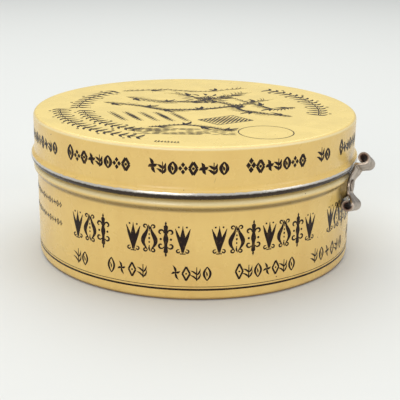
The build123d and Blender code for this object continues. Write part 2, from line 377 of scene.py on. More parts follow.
def bare_tinplate(name, colours, light, dark, dullness, stain_size):
    """Bare tinplate: soft grey shine with a faint spangle, dulled and stained by handling. Dirt and rust
    fill the places that the piece's own attribute "shelter" marks."""
    material, tree, place = new_material(name)
    stains = node(tree, NOISE, {"Vector": place, "Scale": 1 / stain_size, "Detail": 6.0, "Roughness": 0.65})
    spangle = node(tree, CELLS, {"Vector": place, "Scale": 1 / (1.5 * MM)})
    dull = node(
        tree, RANGE, {"Value": stains, "From Min": 0.35, "From Max": 0.65, "To Min": dullness, "To Max": 1.0}
    )
    base = node(tree, MIX, {"Factor": dull, "A": light, "B": dark}, data_type="RGBA")
    spots = node(tree, RANGE, {"Value": stains, "From Min": 0.6, "From Max": 0.7, "To Max": 0.6})
    shelter = node(tree, ATTRIBUTE, attribute_name="shelter")
    rust = node(tree, MATH, {0: spots, 1: shelter.outputs["Fac"]}, operation="MAXIMUM")
    skin = node(tree, MIX, {"Factor": rust, "A": base, "B": colours.rust}, data_type="RGBA")
    rough = node(
        tree, RANGE, {"Value": spangle.outputs["Distance"], "From Max": 0.8, "To Min": 0.3, "To Max": 0.42}
    )
    shine = node(tree, MATH, {0: rust, 1: 0.4, 2: rough}, operation="MULTIPLY_ADD")
    metal = node(tree, RANGE, {"Value": rust, "To Min": 0.92, "To Max": 0.2})
    pits = node(tree, NOISE, {"Vector": place, "Scale": 1 / (0.35 * MM), "Detail": 3.0})
    bump = node(tree, BUMP, {"Height": pits, "Strength": 0.35, "Distance": 0.03 * MM})
    shader = node(
        tree, PRINCIPLED, {"Base Color": skin, "Metallic": metal, "Roughness": shine, "Normal": bump}
    )
    node(tree, OUTPUT, {"Surface": shader})
    return material


def litho_ink(name, colours):
    """Black litho ink under the same varnish: nearly black, brown where it is thin or worn."""
    material, tree, place = new_material(name)
    worn = node(tree, NOISE, {"Vector": place, "Scale": 1 / (1.2 * MM), "Detail": 6.0, "Roughness": 0.7})
    thin = node(tree, RANGE, {"Value": worn, "From Min": 0.55, "From Max": 0.8, "To Max": 0.22})
    skin = node(tree, MIX, {"Factor": thin, "A": colours.ink, "B": colours.paint_aged}, data_type="RGBA")
    shader = node(tree, PRINCIPLED, {"Base Color": skin, "Roughness": 0.35, "Specular IOR Level": 0.2})
    node(tree, OUTPUT, {"Surface": shader})
    return material


def cast_wax(name, colours):
    """Cast wax polish: dense amber brown, a soft sheen, bloom where it has dried."""
    material, tree, place = new_material(name)
    clouds = node(tree, NOISE, {"Vector": place, "Scale": 1 / (12 * MM), "Detail": 5.0})
    skin = node(tree, MIX, {"Factor": clouds, "A": colours.wax, "B": colours.wax_dark}, data_type="RGBA")
    rough = node(tree, RANGE, {"Value": clouds, "To Min": 0.3, "To Max": 0.6})
    grain = node(tree, NOISE, {"Vector": place, "Scale": 1 / (0.6 * MM), "Detail": 4.0})
    bump = node(tree, BUMP, {"Height": grain, "Strength": 0.3, "Distance": 0.05 * MM})
    shader = node(tree, PRINCIPLED, {
        "Base Color": skin, "Roughness": rough, "Normal": bump, "Subsurface Weight": 0.15,
        "Subsurface Scale": 1.5 * MM,
    })
    node(tree, OUTPUT, {"Surface": shader})
    return material


def plain_floor(name):
    """Pale paper sweep with a barely seen tooth."""
    material, tree, place = new_material(name)
    tooth = node(tree, NOISE, {"Vector": place, "Scale": 1 / (1.5 * MM), "Detail": 2.0})
    bump = node(tree, BUMP, {"Height": tooth, "Strength": 0.1, "Distance": 0.05 * MM})
    shader = node(tree, PRINCIPLED, {"Base Color": linear("#D8D7D3"), "Roughness": 0.7, "Normal": bump})
    node(tree, OUTPUT, {"Surface": shader})
    return material


# heights below and above the whole tin, for a finish that has no such place
NOWHERE_LOW = -5 * MM
NOWHERE_HIGH = 60 * MM


def build_materials(colours):
    """Every finish, made once and shared by the pieces."""
    handled = colours.key_light, colours.key_dark
    return {
        "lid": printed_tinplate(
            "printed_tinplate_lid",
            colours,
            bare_below=27.95 * MM,
            # below this band the curl's underside is darkened by painted shade and dirt
            bare_band=0.35 * MM,
            shade_height=NOWHERE_LOW,
            shade_and_dirt_above=NOWHERE_HIGH,
            # painted highlight along the lid's top corner
            highlight_height=LID_BOX[1].z - 0.6 * MM,
            highlight_reach=0.45 * MM,
            # painted light over the top panel
            lit_above=LID_BOX[1].z - 0.15 * MM,
        ),
        "can": printed_tinplate(
            "printed_tinplate_can",
            colours,
            bare_below=NOWHERE_LOW,
            bare_band=1 * MM,
            # painted shade in the hollow under the bead
            shade_height=23.55 * MM,
            # painted shade and dirt under the lid's edge
            shade_and_dirt_above=25.85 * MM,
            # painted highlight on the bead's upper face
            highlight_height=25.2 * MM,
            highlight_reach=0.85 * MM,
            lit_above=NOWHERE_HIGH,
        ),
        "tin": bare_tinplate("bare_tinplate_inside", colours, colours.tin, colours.tin_dull, 0.1, 9 * MM),
        "key": bare_tinplate("aged_tinplate_key", colours, *handled, 0.1, 2.2 * MM),
        "rivet": bare_tinplate("dull_steel_rivet", colours, *handled, 0.4, 1.5 * MM),
        "ink": litho_ink("litho_ink", colours),
        "wax": cast_wax("cast_wax_polish", colours),
    }


# ---- pressed sheet ------------------------------------------------------------------------------


KEY_GAP = 0.1 * MM  # between the key and its seat
SEAT_FINE = 6 * MM  # how far round the seat the wall's mesh is made finer
SEAT_REACH = 2.2 * MM  # how far the slope round the seat may run
SEAT_SLOPE = 1.4  # its fall for each step outwards
SEAT_SOFT = 0.1 * MM  # roundness of its foot


def can_outline(sizes):
    """Outside of the can from its centre to the end of the rolled rim."""
    wall, crest = sizes.wall, (sizes.wall + sizes.bead_reach - sizes.bead_radius, sizes.bead_z)
    # centre distance of the blend circles, which touch the crest's circle and the wall
    side = wall + sizes.bead_blend - crest[0]
    rise = sqrt((sizes.bead_radius + sizes.bead_blend) ** 2 - side**2)
    turn = degrees(acos(side / (sizes.bead_radius + sizes.bead_blend)))
    foot, head = (wall + sizes.bead_blend, crest[1] - rise), (wall + sizes.bead_blend, crest[1] + rise)
    flat = wall - sizes.heel
    neck = CAN_BOX[1].z - sizes.rim_radius
    points = [(0, 0)] + span((0, 0), (flat, 0), 24)
    points += arc((flat, sizes.heel), sizes.heel, -90, 0, 10)
    points += span((wall, sizes.heel), (wall, foot[1]), 26)
    points += arc(foot, sizes.bead_blend, 180, 180 - turn, 7)
    points += arc(crest, sizes.bead_radius, -turn, turn, 16)[1:]
    points += arc(head, sizes.bead_blend, 180 + turn, 180, 7)[1:]
    points += span((wall, head[1]), (wall, neck), 14)
    points += arc((wall - sizes.rim_radius, neck), sizes.rim_radius, 0, 240, 18)
    return points


def lid_outline(sizes, top):
    """Outside of the lid from its centre to the end of the edge curl."""
    skirt = LID_BOX[1].x - sizes.curl_reach
    curl = (LID_BOX[1].x - sizes.curl_radius, LID_BOX[0].z + sizes.curl_radius * sin(radians(80)))
    side = skirt + sizes.flare - curl[0]
    turn = degrees(acos(side / (sizes.curl_radius + sizes.flare)))
    hollow = (skirt + sizes.flare, curl[1] + sqrt((sizes.curl_radius + sizes.flare) ** 2 - side**2))
    flat = skirt - sizes.corner
    points = [(0, top)] + span((0, top), (flat, top), 40)
    points += arc((flat, top - sizes.corner), sizes.corner, 90, 0, 12)
    points += span((skirt, top - sizes.corner), (skirt, hollow[1]), 12)
    points += arc(hollow, sizes.flare, 180, 180 + turn, 10)
    points += arc(curl, sizes.curl_radius, turn, -80, 20)[1:]
    return points


def seat_pad(bm, sizes):
    """Presses the key's flat seat out of the can's wall, with a slope that runs softly into it."""
    face_x = PIVOT.x - KEY_GAP
    centre = Vector((sizes.wall, 0, PIVOT.z))
    near = [e for e in bm.edges if all((v.co - centre).length < SEAT_FINE for v in e.verts)]
    bmesh.ops.subdivide_edges(bm, edges=near, cuts=2, use_grid_fill=True)
    for v in bm.verts:
        off = hypot(v.co.y, v.co.z - PIVOT.z)
        if v.co.x < sizes.wall - SEAT_FINE or off > sizes.seat_radius + SEAT_REACH:
            continue
        gap = face_x - max(0, off - sizes.seat_radius) * SEAT_SLOPE - v.co.x
        v.co.x += 0.5 * (gap + sqrt(gap * gap + SEAT_SOFT**2)) if off > sizes.seat_radius else gap


def press_sheet(bm, sizes):
    """Gives the outer surface its waver and its thickness; the inner faces take the second finish."""
    warp_sheet(bm, sizes.waver)
    bmesh.ops.recalc_face_normals(bm, faces=bm.faces)
    outer = set(bm.faces)
    bmesh.ops.solidify(bm, geom=list(bm.faces), thickness=sizes.sheet)
    for face in bm.faces:
        face.material_index = 0 if face in outer else 1


class TIN_OT_lid(bpy.types.Operator):
    """Model the slip lid, with its edge curled out and under"""

    bl_idname = "tin.lid"
    bl_label = "Slip lid"

    def execute(self, context):
        sizes = context.scene.tin_sizes
        bm = lathe(lid_outline(sizes, LID_BOX[1].z - sizes.panel_drop), sizes.steps)
        press_sheet(bm, sizes)
        finish_piece("lid_shell", bm, [finishes["lid"], finishes["tin"]], "lid", "lid")
        return {"FINISHED"}


class TIN_OT_can(bpy.types.Operator):
    """Model the can, with its bead, rolled rim and key seat"""

    bl_idname = "tin.can"
    bl_label = "Can"

    def execute(self, context):
        sizes = context.scene.tin_sizes
        bm = lathe(can_outline(sizes), sizes.steps)
        seat_pad(bm, sizes)
        press_sheet(bm, sizes)
        # the neck under the lid was never printed
        for face in bm.faces:
            if face.calc_center_median().z > LID_BOX[0].z + 2 * MM:
                face.material_index = 1
        materials = [finishes["can"], finishes["tin"]]
        finish_piece("can_shell", bm, materials, "can", "base_can")
        return {"FINISHED"}


# ---- key and rivet ------------------------------------------------------------------------------


def walk(plan, s, depth):
    """Place (along, out) of a point s along a folded strip and depth above its tin side.

    A plan is a list of (length, 0) for a straight run or (degrees, radius) for a bend: a positive
    bend turns away from the tin, a negative one rolls back, at that radius on the tin side."""
    x, y, heading = 0.0, 0.0, 0.0
    for amount, radius in plan:
        if not radius:
            step = min(s, amount)
            x, y = x + step * cos(heading), y + step * sin(heading)
            s -= step
        else:
            sign = 1 if amount > 0 else -1
            turn = min(s / radius, radians(abs(amount)))
            centre = (x - sign * radius * sin(heading), y + sign * radius * cos(heading))
            heading += sign * turn
            x, y = centre[0] + sign * radius * sin(heading), centre[1] - sign * radius * cos(heading)
            s -= turn * radius
        if s <= 1e-12:
            break
    return x - depth * sin(heading), y + depth * cos(heading)


def smooth(start, end, value):
    """0 before start, 1 after end, and an even S between."""
    t = min(1, max(0, (value - start) / (end - start)))
    return t * t * (3 - 2 * t)


def plan_length(plan):
    """Length of a plan's strip, measured on its tin side."""
    return sum(radians(abs(a)) * r if r else a for a, r in plan)


CELL = 0.2 * MM  # mesh of the strip, along it
COLUMNS = 40  # and across it
WORN_EDGE = 0.12 * MM  # rounding of the stamped edges
# the folds of each wing, from the flat outwards, as degrees of bend and the straight run after it
UPPER_FOLDS = ((20, 2.67 * MM), (62, 1.52 * MM))
LOWER_FOLDS = ((40, 2.45 * MM),)
# the rolls at their ends, as degrees and radius, tighter inwards
UPPER_ROLL = [(-170, 1.1 * MM), (-110, 0.85 * MM), (-70, 0.6 * MM)]
LOWER_ROLL = [(-150, 1.1 * MM), (-120, 0.9 * MM), (-70, 0.6 * MM)]
# where the rolls begin to hold dirt, along the strip
UPPER_SHELTER = (8 * MM, 9.2 * MM)
LOWER_SHELTER = (5.2 * MM, 6.2 * MM)
DIRT = 0.85  # how dark it is
CREASES = (5.0 * MM, 5.5 * MM, 6.0 * MM)  # score lines across the upper wing
CREASE_WIDTH = 0.2 * MM
CREASE_DEPTH = 0.13 * MM
HANDLED = 0.1 * MM  # how far the wings are from flat


def wing_plan(sizes, folds, roll):
    """Plan of one wing: the flat, each fold with its straight run, and the roll."""
    plan = [(sizes.flat, 0)]
    for turn, run in folds:
        plan += [(turn, sizes.bend), (run, 0)]
    return plan + roll


def half_width(sizes, s, end):
    """Half width of the blank at s along it, which is end from its tip."""
    rise = smooth(sizes.widen_from, sizes.widen_to, abs(s))
    half = sizes.waist + (sizes.lobe - sizes.waist) * rise
    if s < 0:
        half += sizes.lower_extra * rise
    if abs(s) < sizes.cam:
        half = max(half, sqrt(sizes.cam**2 - s * s))
    if end < sizes.end_round:
        half -= sizes.end_round * (1 - sqrt(max(0, 1 - (1 - end / sizes.end_round) ** 2)))
    return half


def stamped_blank(sizes, up, down):
    """Flat blank of the key, from -down to up along Y, with its hole, thickness and worn edges."""
    bm = bmesh.new()
    bmesh.ops.create_grid(bm, x_segments=COLUMNS, y_segments=round((up + down) / CELL), size=1)
    for v in bm.verts:
        s = -down + (v.co.y + 1) / 2 * (up + down)
        v.co = Vector((v.co.x * half_width(sizes, s, (up if s > 0 else down) - abs(s)), s, 0))
    punched = [v for v in bm.verts if hypot(v.co.x, v.co.y) < sizes.hole]
    bmesh.ops.delete(bm, geom=punched, context="VERTS")
    for v in bm.verts:
        off = hypot(v.co.x, v.co.y)
        if off < sizes.hole + CELL * 1.5 and any(e.is_boundary for e in v.link_edges):
            v.co *= sizes.hole / off
    bmesh.ops.recalc_face_normals(bm, faces=bm.faces)
    if sum(f.normal.z for f in bm.faces) < 0:
        bmesh.ops.reverse_faces(bm, faces=bm.faces)
    bmesh.ops.solidify(bm, geom=list(bm.faces), thickness=sizes.strip)
    low = min(v.co.z for v in bm.verts)
    bmesh.ops.translate(bm, verts=bm.verts, vec=(0, 0, -low))
    edges = [e for e in bm.edges if len(e.link_faces) == 2 and e.calc_face_angle(0) > radians(60)]
    bmesh.ops.bevel(
        bm, geom=edges, offset=WORN_EDGE, segments=2, profile=0.5, affect="EDGES", material=-1,
        clamp_overlap=True,
    )
    return bm


class TIN_OT_key(bpy.types.Operator):
    """Model the twist key: a stamped strip with both ends bent out and rolled back"""

    bl_idname = "tin.key"
    bl_label = "Twist key"

    def execute(self, context):
        sizes = context.scene.key_sizes
        upper, lower = wing_plan(sizes, UPPER_FOLDS, UPPER_ROLL), wing_plan(sizes, LOWER_FOLDS, LOWER_ROLL)
        bm = stamped_blank(sizes, plan_length(upper), plan_length(lower))
        # dirt stays on the inside of both rolls
        shelter = bm.verts.layers.float.new("shelter")
        for v in bm.verts:
            inside = DIRT if v.co.z < sizes.strip / 2 else 0
            v[shelter] = inside * max(smooth(*UPPER_SHELTER, v.co.y), smooth(*LOWER_SHELTER, -v.co.y))
        for v in bm.verts:
            s, w, depth = v.co.y, v.co.x, v.co.z
            tilt = sizes.lower_tilt + (sizes.upper_tilt - sizes.lower_tilt) * smooth(-2 * MM, 2 * MM, s)
            tilt -= sizes.upper_twist * smooth(3.5 * MM, 7 * MM, s)
            # handled: the flat of the wings isn't quite flat
            wave = noise.noise(Vector((w, s, 0)) * 330 + Vector((4.2, 1.1, 6.6)))
            depth += wave * HANDLED * min(1, max(0, (abs(s) - 3.2 * MM) / (2 * MM)))
            for crease in CREASES:
                depth -= CREASE_DEPTH * max(0, 1 - ((s - crease) / CREASE_WIDTH) ** 2) ** 2
            along, out = walk(upper if s > 0 else lower, abs(s), depth)
            along = along if s > 0 else -along
            # +w is towards -Y, so that the strip's outer face looks along +X
            y = along * sin(tilt) - w * cos(tilt)
            z = along * cos(tilt) + w * sin(tilt)
            v.co = Vector((PIVOT.x + out, y, PIVOT.z + z))
        finish_piece("twist_key", bm, [finishes["key"]], "key", "opener_key", sharp=50)
        return {"FINISHED"}


OUTER_HEAD = 0.7 * MM  # underside of the rivet's outer head, from the pivot outwards
INNER_HEAD = 0.4 * MM  # face of its inner head, from the pivot inwards
HEAD_EDGE = 0.08 * MM  # upright edge of the outer head
TAIL_SHARE = 0.55  # width of the inner head's far end, as a share of the head


class TIN_OT_rivet(bpy.types.Operator):
    """Model the rivet that the key turns on, with its peened head"""

    bl_idname = "tin.rivet"
    bl_label = "Rivet"

    def execute(self, context):
        sizes = context.scene.key_sizes
        back, front, wide = RIVET_BOX[0].x, RIVET_BOX[1].x, RIVET_BOX[1].y
        inside, head = PIVOT.x - INNER_HEAD, PIVOT.x + OUTER_HEAD
        brim = head + HEAD_EDGE
        half = [(0, back), (wide * TAIL_SHARE, back), (wide, inside), (sizes.shank, inside)]
        half += [(sizes.shank, head), (wide, head), (wide, brim)]
        angles = [radians(a) for a in range(10, 90, 10)]
        half += [(wide * cos(a), brim + (front - brim) * sin(a)) for a in angles]
        half += [(0, front)]
        bm = lathe(half, 48)
        # hammer marks
        for v in bm.verts:
            if v.co.z > head + 0.1 * MM:
                dent = noise.noise(v.co * 1400 + Vector((2.2, 5.1, 0.3)))
                v.co.z -= 0.05 * MM * max(0, dent + 0.3)
        # the lathe's axis is Z, and the rivet's is X
        turn = Matrix(((0, 0, 1, 0), (0, 1, 0, PIVOT.y), (-1, 0, 0, PIVOT.z), (0, 0, 0, 1)))
        bmesh.ops.transform(bm, matrix=turn, verts=bm.verts)
        materials = [finishes["rivet"]]
        finish_piece("key_rivet_head", bm, materials, "can", "key_rivet", sharp=40)
        return {"FINISHED"}


CREEP_RISE = 0.6 * MM  # how far the wax climbs the wall
CREEP_WIDTH = 3 * MM  # width of that climb
SINK = 0.5 * MM  # how far the middle has sunk
CALM_EDGE = 0.5 * MM  # ring at the wall that no brush reaches


class TIN_OT_wax(bpy.types.Operator):
    """Model the cake of wax, creeping up the wall and scooped by a brush"""

    bl_idname = "tin.wax"
    bl_label = "Wax cake"

    def execute(self, context):
        edge, floor, top = CAKE_BOX[1].x, CAKE_BOX[0].z, CAKE_BOX[1].z
        level, rings = top - CREEP_RISE, 90
        half = [(0, floor), (edge, floor)] + span((edge, floor), (edge, top), 12) + [(edge, top)]
        for i in range(1, rings):
            r = edge * (1 - i / rings)
            creep = max(0, (r - (edge - CREEP_WIDTH)) / CREEP_WIDTH)
            dish = max(0, 1 - r / (edge - CREEP_WIDTH))
            half.append((r, level + CREEP_RISE * creep**2.2 - SINK * dish * dish * (3 - 2 * dish)))
        half.append((0, level - SINK))
        bm = lathe(half, 240)
        for v in bm.verts:
            r = hypot(v.co.x, v.co.y)
            if v.co.z < level - 2 * SINK or r > edge - CALM_EDGE:
                continue
            # strokes that follow the brush round, and a few lumps
            turn = atan2(v.co.y, v.co.x)
            groove = noise.noise(Vector((r * 480, cos(turn) * 1.6, sin(turn) * 1.6)))
            lump = noise.noise(Vector((v.co.x, v.co.y, 0)) * 90 + Vector((7, 3, 1)))
            calm = min(1, (edge - CALM_EDGE - r) / (4 * MM))
            v.co.z += calm * (0.5 * MM * min(0, groove - 0.05) + 0.2 * MM * min(0, lump))
        finish_piece("wax_cake", bm, [finishes["wax"]], "can", "polish_cake")
        return {"FINISHED"}


# ---- print --------------------------------------------------------------------------------------
# A print is drawn flat in millimetres: x runs right along the unrolled sheet, y up. Its x = 0 goes at the
# tin's angle FRONT, the middle of the front.

FRONT = radians(-67)
SWING = radians(23)  # the front's turn from -Y, which the camera and the lights share
INK_PROUD = 0.018 * MM  # thickness of the ink over the sheet
INK_DEEP = 0.012 * MM  # and how far it goes in, so that no gap shows


def stroke(bm, points):
    """Band of ink along (x, y, width) points."""
    ends = []
    for i, (x, y, width) in enumerate(points):
        before, after = points[max(0, i - 1)], points[min(len(points) - 1, i + 1)]
        dx, dy = after[0] - before[0], after[1] - before[1]
        size = hypot(dx, dy) or 1
        nx, ny = -dy / size * width / 2, dx / size * width / 2
        if ends:
            made = bmesh.ops.extrude_edge_only(bm, edges=[bm.edges.get(ends)])["geom"]
            new = [g for g in made if isinstance(g, bmesh.types.BMVert)]
            # the new end that hangs on the old left end is the new left end
            if ends[0] not in [e.other_vert(new[0]) for e in new[0].link_edges]:
                new.reverse()
            ends = new
        else:
            ends = [bm.verts.new((0, 0, 0)), bm.verts.new((0, 0, 0))]
            bm.edges.new(ends)
        ends[0].co, ends[1].co = (x + nx, y + ny, 0), (x - nx, y - ny, 0)


def dot(bm, x, y, radius, sides=14, stretch=1.0):
    """Round dot, or a lozenge if it has four sides."""
    made = bmesh.ops.create_circle(bm, cap_ends=True, segments=sides, radius=radius)["verts"]
    for v in made:
        v.co = Vector((v.co.x * stretch + x, v.co.y + y, 0))


def curve(x, y, radius, start, end, thick, thin, count=12, grow=0.0):
    """Points of a curl: an arc in degrees whose radius grows and whose width fades at both ends."""
    points = []
    for i in range(count + 1):
        t = i / count
        angle = radians(start + (end - start) * t)
        r = radius * (1 + grow * t)
        points.append((x + r * cos(angle), y + r * sin(angle), thin + (thick - thin) * sin(pi * t)))
    return points


def leaf(x, y, angle, size, width, count=7):
    """Points of a pointed leaf from (x, y) in a direction in degrees, slightly bent."""
    points = []
    for i in range(count + 1):
        t = i / count
        bend = radians(angle) + 0.5 * (t - 0.5)
        thick = max(0.04, width * sin(pi * t**0.8))
        points.append((x + size * t * cos(bend), y + size * t * sin(bend), thick))
    return points


def both_sides(bm, points, axis):
    """Band of ink and its mirror image across an upright axis."""
    stroke(bm, points)
    stroke(bm, [(2 * axis - x, y, width) for x, y, width in points])


def spindle(bm, x, low, high):
    """Turned stem that runs past the row at both ends, with curls at its sides."""
    tall, middle = high - low, (low + high) / 2
    profile = [(-0.14, 0.1), (-0.06, 0.55), (-0.02, 0.3), (0.04, 1.1), (0.3, 0.75), (0.5, 1.35), (0.7, 0.75)]
    profile += [(0.96, 1.1), (1.02, 0.3), (1.06, 0.55), (1.14, 0.1)]
    points = []
    for (a, wa), (b, wb) in zip(profile, profile[1:]):
        for i in range(3):
            points.append((x, low + tall * (a + (b - a) * i / 3), wa + (wb - wa) * smooth(0, 3, i)))
    stroke(bm, points + [(x, low + tall * 1.14, 0.1)])
    for way in (-1, 1):
        curl = curve(x + 1.15, middle + way * 1.75, 0.72, 200, 200 - way * 290, 0.5, 0.2, 14, -0.45)
        both_sides(bm, curl, x)
        dot(bm, x + way * 1.25, middle, 0.3)


def lyre(bm, x, low, high):
    """Two tall S curves that face each other over a chain of seeds."""
    tall, middle = high - low, (low + high) / 2
    points = []
    for i in range(19):
        t = i / 18
        across = 0.45 + 1.0 * sin(pi * t) ** 1.4 + 0.35 * sin(tau * t)
        points.append((x + across, low + 0.5 + (tall - 1.0) * t, 0.26 + 0.85 * sin(pi * t) ** 1.6))
    both_sides(bm, points, x)
    for height, way in ((high - 0.55, 1), (low + 0.55, -1)):
        both_sides(bm, curve(x + 1.0, height, 0.5, 180, 180 - way * 300, 0.42, 0.2, 12, -0.4), x)
    for i in range(5):
        dot(bm, x, middle + (i - 2) * tall * 0.14, 0.34 - 0.07 * abs(i - 2), 8, 0.75)
    stroke(bm, leaf(x, high - 1.5, 90, 1.5, 0.45))
    stroke(bm, leaf(x, low + 1.5, -90, 1.5, 0.45))


def tulip(bm, x, low, high):
    """Tall bud between two leaves on a short foot."""
    tall = high - low
    bud = [(low + tall * i / 16, sin(pi * min(1, i / 16 * 1.02))) for i in range(17)]
    stroke(bm, [(x, y, 0.12 + 1.25 * swell**1.5) for y, swell in bud])
    points = []
    for i in range(15):
        t = i / 14
        across = 0.25 + 1.75 * t**1.6 - 0.75 * max(0, t - 0.7) ** 1.2
        points.append((x + across, low + 0.3 + tall * 0.86 * t**0.9, 0.14 + 0.68 * sin(pi * t) ** 1.2))
    both_sides(bm, points, x)
    both_sides(bm, curve(x + 1.05, low + 0.62, 0.5, 120, -190, 0.4, 0.18, 12, -0.4), x)
    for side in (-1, 1):
        dot(bm, x + side * 0.95, high - 0.3, 0.24)
    stroke(bm, [(x - 0.7, low, 0.28), (x + 0.7, low, 0.28)])


def border_unit(bm, x, low, high, kind, bold):
    """Unit of a small border: 0 open lozenge, 1 four petals, 2 seed pod, 3 cluster of lozenges, 4 sprig."""
    tall, middle = high - low, (low + high) / 2
    half = tall / 2
    wide = min(half, 1.3)
    if kind == 0:
        corner = [(x, high), (x + wide * 0.72, middle), (x, low), (x - wide * 0.72, middle), (x, high)]
        for (ax, ay), (bx, by) in zip(corner, corner[1:]):
            stroke(bm, [(ax, ay, bold), ((ax + bx) / 2, (ay + by) / 2, bold), (bx, by, bold)])
        dot(bm, x, middle, bold * 0.5)
    elif kind == 1:
        for turn in (0, 90, 180, 270):
            stroke(bm, leaf(x, middle, turn + 8, half if turn % 180 else wide * 0.9, bold * 1.2))
    elif kind == 2:
        swell = [(tall * i / 12, sin(pi * i / 12)) for i in range(13)]
        half_pod = [(x + wide * 0.62 * n, low + up, bold * (0.45 + 0.75 * n)) for up, n in swell]
        both_sides(bm, half_pod, x)
        stroke(bm, leaf(x - 0.05, middle - half * 0.4, 90, half * 0.8, bold * 0.8))
    elif kind == 3:
        for across, up in ((0, 0.56), (0, -0.56), (0.46, 0), (-0.46, 0)):
            dot(bm, x + across * wide * 1.1, middle + up * half, half * 0.42, 4, 0.8)
    else:
        stroke(bm, [(x, low, 0.3), (x, middle, 0.3), (x, high - 0.1, 0.2)])
        for side in (-1, 1):
            for foot, size in ((0.05, 0.6), (0.4, 0.55)):
                stroke(bm, leaf(x, low + tall * foot, 90 - side * 40, tall * size, bold * 0.95))


def around(degree, radius):
    """Distance along the unrolled sheet, in millimetres, of an angle from FRONT."""
    return radians(degree) * radius / MM


def fill(block, lap, radius, pitch):
    """Evenly spaced places, in millimetres, about one pitch apart, across a block of degrees."""
    start, end = around(block[0] + lap, radius), around(block[1] + lap, radius)
    count = max(1, round((end - start) / pitch))
    step = (end - start) / count
    return [start + step * (i + 0.5) for i in range(count)]


def ink_film(bm):
    """Turns a flat print face up and makes it a film of ink, its underside INK_DEEP below z = 0."""
    bmesh.ops.recalc_face_normals(bm, faces=bm.faces)
    for face in bm.faces:
        if face.normal.z < 0:
            face.normal_flip()
    bmesh.ops.solidify(bm, geom=list(bm.faces), thickness=INK_PROUD + INK_DEEP)
    low = min(v.co.z for v in bm.verts)
    bmesh.ops.translate(bm, verts=bm.verts, vec=(0, 0, -low - INK_DEEP))


def roll_on(bm, radius, waver):
    """Wraps a flat print on a wall of that radius."""
    ink_film(bm)
    for v in bm.verts:
        angle, out = FRONT + v.co.x * MM / radius, radius + v.co.z
        height = v.co.y * MM
        off = waver * stray(radius * cos(angle), radius * sin(angle), height)
        v.co = Vector(((out + off) * cos(angle), (out + off) * sin(angle), height))


def lay_on(bm, level, waver):
    """Lays a flat print on a panel at that level, with its foot to the front."""
    ink_film(bm)
    for v in bm.verts:
        thick = v.co.z
        v.co = Matrix.Rotation(SWING, 3, "Z") @ Vector((v.co.x * MM, v.co.y * MM, 0))
        v.co.z = level
        v.co.z += waver * stray(*v.co) + thick


# blocks of ornament round the front half, in degrees from FRONT; the other half repeats them
LID_BLOCKS = [(-96, -51), (-45.3, -20.1), (-14.5, 10.7), (16.1, 38.1), (43.7, 50.3), (56.3, 77)]
LARGE_BLOCKS = [(-44.8, -28), (-22.4, -0.7), (5.4, 45.1), (51.6, 88)]
SMALL_BLOCKS = [(-43.7, -37.3), (-29.7, -14.5), (-7.3, 6.2), (13.4, 36.2), (43.9, 66), (73, 88)]
TINY_BLOCKS = [(-84, -50.7)]


# heights of the bands on the sheet, in millimetres; the first sign of a block stands taller
LID_BAND, LID_INITIAL = (32.3, 35.4), 36.2
LARGE_BAND = (12.2, 19.3)
SMALL_BAND, SMALL_INITIAL = (5.3, 8.9), 9.3
TINY_BANDS = ((13.3, 14.9), (18.2, 19.8))
RULES = ((2.9, 0.5), (3.65, 0.15))  # height and width of the rules under them


class TIN_OT_print_lid_band(bpy.types.Operator):
    """Print the band of small ornament round the lid"""

    bl_idname = "tin.print_lid_band"
    bl_label = "Lid band"

    def execute(self, context):
        sizes = context.scene.tin_sizes
        radius = LID_BOX[1].x - sizes.curl_reach
        bm = bmesh.new()
        low, high = LID_BAND
        for lap in (0, 180):
            for number, block in enumerate(LID_BLOCKS):
                for i, x in enumerate(fill(block, lap, radius, 2.45)):
                    kind = (0, 2, 1, 3, 4)[(i * 2 + number) % 5]
                    border_unit(bm, x, low, high if i else LID_INITIAL, kind, 0.7)
        roll_on(bm, radius, sizes.waver)
        finish_piece("print_lid_band", bm, [finishes["ink"]], "lid")
        return {"FINISHED"}


class TIN_OT_print_can_band(bpy.types.Operator):
    """Print the large ornament round the can, the small band and the rules under it"""

    bl_idname = "tin.print_can_band"
    bl_label = "Can bands"

    def execute(self, context):
        sizes = context.scene.tin_sizes
        radius = sizes.wall
        large, small = bmesh.new(), bmesh.new()
        for lap in (0, 180):
            for block in LARGE_BLOCKS:
                for i, x in enumerate(fill(block, lap, radius, 4.25)):
                    (tulip, lyre, spindle)[i % 3](large, x, *LARGE_BAND)
            for number, block in enumerate(SMALL_BLOCKS):
                for i, x in enumerate(fill(block, lap, radius, 2.6)):
                    kind, (low, high) = (4, 2, 1, 0)[(i + number) % 4], SMALL_BAND
                    border_unit(small, x, low, high if i else SMALL_INITIAL, kind, 0.48)
            for block in TINY_BLOCKS:
                for low, high in TINY_BANDS:
                    for i, x in enumerate(fill(block, lap, radius, 1.45)):
                        border_unit(small, x, low, high, (0, 3, 1)[i % 3], 0.3)
        for height, width in RULES:
            stroke(small, [(around(1.2 * i, radius), height, width) for i in range(301)])
        for name, bm in (("print_can_large", large), ("print_can_small", small)):
            roll_on(bm, radius, sizes.waver)
            finish_piece(name, bm, [finishes["ink"]], "can")
        return {"FINISHED"}


def garland(bm, radius, start, end, size):
    """Laurel along an arc on the lid's panel; degrees from the front, to the right."""
    count = max(2, round(radians(abs(end - start)) * radius / (size * 0.5)))
    stem = []
    for i in range(count + 1):
        angle = radians(start + (end - start) * i / count)
        x, y = radius * sin(angle), -radius * cos(angle)
        stem.append((x, y, 0.06 * size))
        along = degrees(atan2(y, x)) + 90
        for side in (-1, 1):
            stroke(bm, leaf(x, y, along + side * 62, size * 0.6, size * 0.17))
            stroke(bm, leaf(x, y, along + side * 30, size * 0.34, size * 0.09))
            if i % 3 == 1:
                berry = 1 + side * 0.56 * size / radius
                dot(bm, x * berry, y * berry, size * 0.08)
    stroke(bm, stem)


